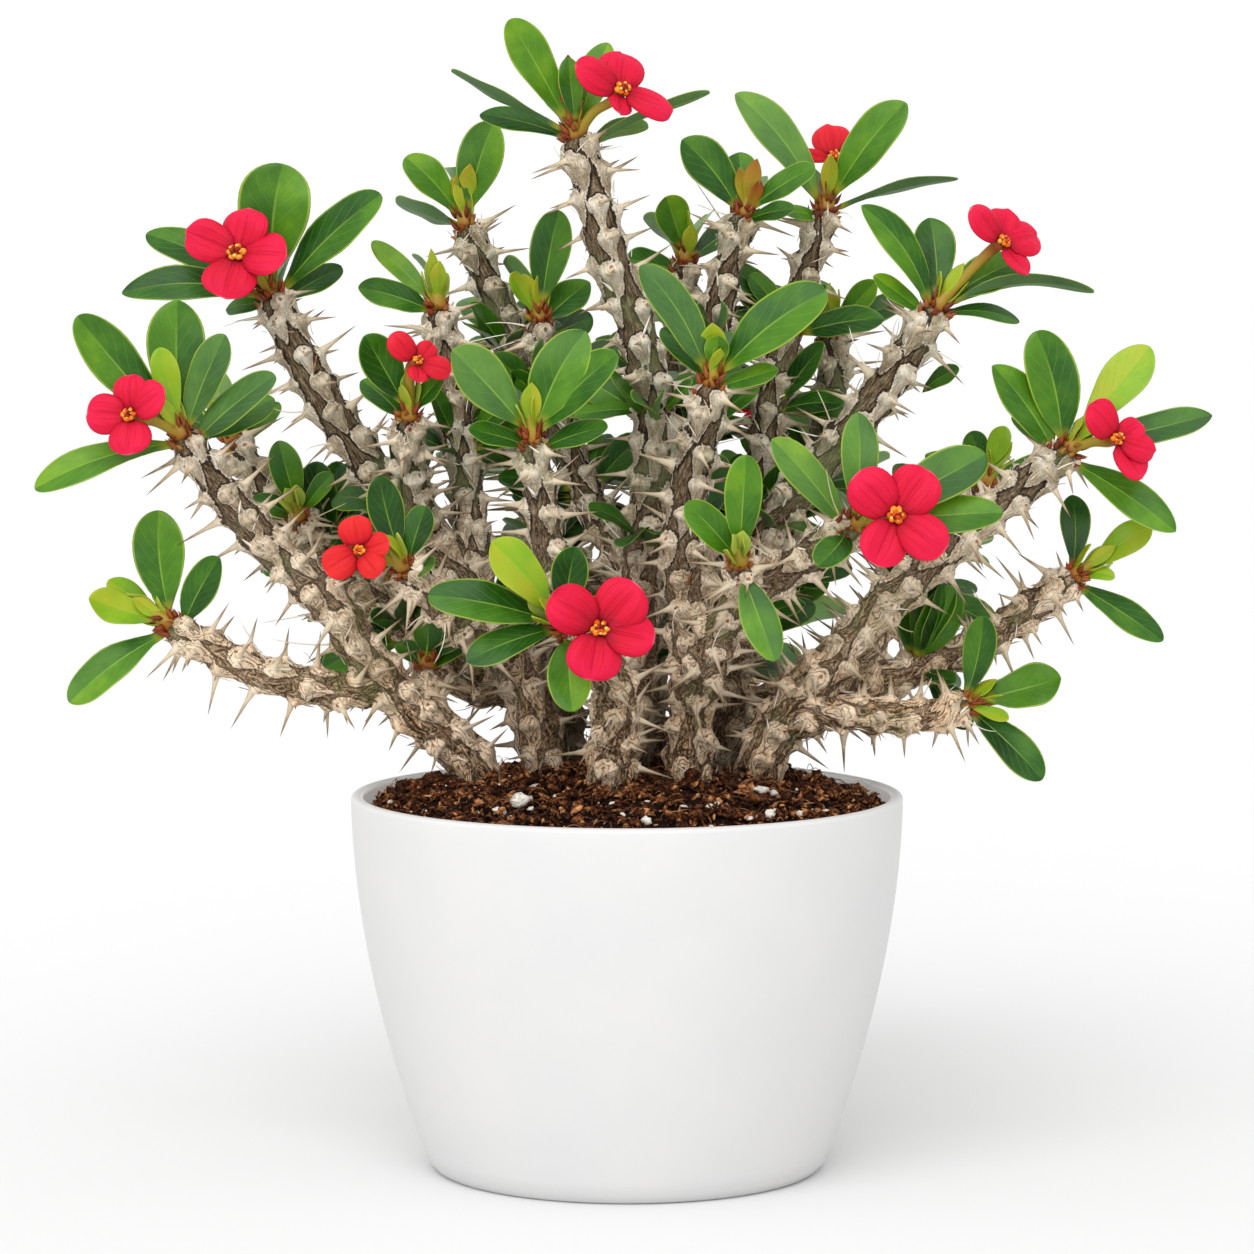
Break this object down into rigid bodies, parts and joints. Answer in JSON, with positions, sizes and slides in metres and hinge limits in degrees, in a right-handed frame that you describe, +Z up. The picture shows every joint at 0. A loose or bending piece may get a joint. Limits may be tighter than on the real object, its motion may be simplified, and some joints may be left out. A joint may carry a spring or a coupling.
{
  "type": "potted crown of thorns plant",
  "caption": "Bushy crown of thorns: thorny woody stems with leaf rosettes and red blooms in a round tapered white planter filled with soil.",
  "frame": {"origin": "centre of the planter's flat base, on the surface it stands on", "axes": "+Z up through the planter's axis, +X to the plant's right as seen from its front, -Y towards its front"},
  "size_m": [0.376, 0.2571, 0.3735],
  "materials": {
    "pot": "satin white",
    "soil": "loose dark brown potting soil",
    "bark": "dry grey bark with raised thorn cushions",
    "leaf": "smooth, waxy satin green",
    "bract": "soft satin red"
  },
  "bodies": {
    "root": {"pot": "pot", "soil": "soil", "stem_left": "bark", "stem_upper_left": "bark", "stem_centre": "bark", "stem_right_middle": "bark", "stem_right": "bark", "stem_front": "bark", "stem_upper_right": "bark", "stem_back_left": "bark", "stem_back": "bark", "stem_back_right": "bark", "leaves_left": "leaf", "leaves_left_spur": "leaf", "leaves_low_left": "leaf", "leaves_upper_left": "leaf", "leaves_mid_left": "leaf", "leaves_small_red": "leaf", "leaves_low_mid_left": "leaf", "leaves_crown": "leaf", "leaves_centre_left": "leaf", "leaves_behind_crown": "leaf", "leaves_right_middle": "leaf", "leaves_front_right": "leaf", "leaves_front_right_spur": "leaf", "leaves_upper_middle": "leaf", "leaves_right": "leaf", "leaves_low_right": "leaf", "leaves_lowest_right": "leaf", "leaves_front": "leaf", "leaves_upper_right": "leaf", "leaves_top_right": "leaf", "leaves_top_left": "leaf", "leaves_back_left": "leaf", "leaves_back_left_spur": "leaf", "leaves_rear_left": "leaf", "leaves_behind_middle": "leaf", "leaves_rear_middle": "leaf", "leaves_rear_low": "leaf", "leaves_behind_right": "leaf", "leaves_far_right": "leaf", "leaves_rear_right": "leaf", "leaves_rear_right_low": "leaf", "leaves_rear_far_right": "leaf", "bloom_left": "bract", "bloom_upper_left": "bract", "bloom_small_red": "bract", "bloom_low_mid_left": "bract", "bloom_crown": "bract", "bloom_front_right": "bract", "bloom_right": "bract", "bloom_front": "bract", "bloom_upper_right": "bract", "bloom_top_right": "bract", "bloom_rear_middle": "bract", "bloom_rear_right": "bract", "bloom_rear_right_low": "bract"}
  },
  "joints": []
}
